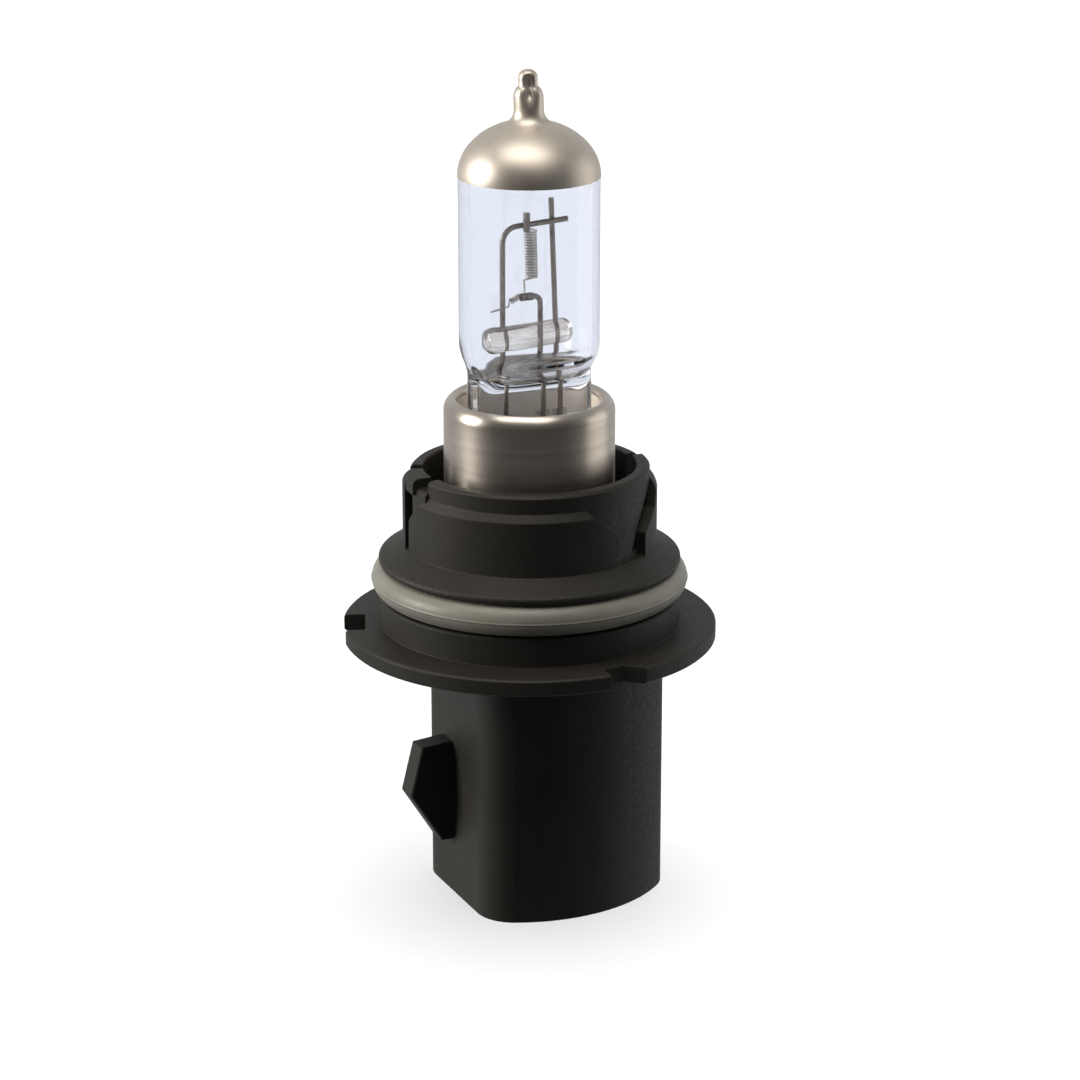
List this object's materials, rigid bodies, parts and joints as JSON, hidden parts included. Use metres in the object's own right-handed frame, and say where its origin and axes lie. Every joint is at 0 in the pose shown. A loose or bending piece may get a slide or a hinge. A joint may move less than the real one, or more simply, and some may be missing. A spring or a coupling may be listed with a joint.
{
  "type": "headlight bulb",
  "caption": "Two-beam halogen headlight capsule on a moulded base with round flange, sealing ring, keyed collar and blade plug socket.",
  "frame": {"origin": "on the bulb's axis, at the seating face on top of the flange", "axes": "+Z along the bulb's axis towards the glass tip; the plug's latch rib points to -X"},
  "size_m": [0.0398, 0.0398, 0.0894],
  "materials": {
    "base_plastic": "fine moulded grain",
    "seal_rubber": "satin",
    "nickel": "satin brushed, polished rim",
    "steel": "plain",
    "quartz": "clear, faint blue tint",
    "coating": "satin silver paint",
    "wire_metal": "drawn wire",
    "tungsten": "drawn wire",
    "foil_metal": "thin foil",
    "terminal_metal": "tin-washed brass",
    "carrier_plastic": "moulded",
    "potting": "cast resin"
  },
  "bodies": {
    "root": {"base_housing": "base_plastic", "sealing_ring": "seal_rubber", "focus_cup": "steel", "capsule_sleeve": "nickel", "capsule_clip": "steel", "glass_envelope": "quartz", "tip_coating": "coating", "bridge_rod": "quartz", "upper_filament_clamp": "wire_metal", "lower_filament_clamp": "wire_metal", "upper_filament": "tungsten", "lower_filament": "tungsten", "terminal_carrier": "carrier_plastic", "potting_plug": "potting", "low_beam_blade": "terminal_metal", "common_blade": "terminal_metal", "high_beam_blade": "terminal_metal", "left_support_wire": "wire_metal", "middle_support_wire": "wire_metal", "right_support_wire": "wire_metal", "left_foil": "foil_metal", "middle_foil": "foil_metal", "right_foil": "foil_metal", "left_lead": "terminal_metal", "middle_lead": "terminal_metal", "right_lead": "terminal_metal"}
  },
  "joints": []
}
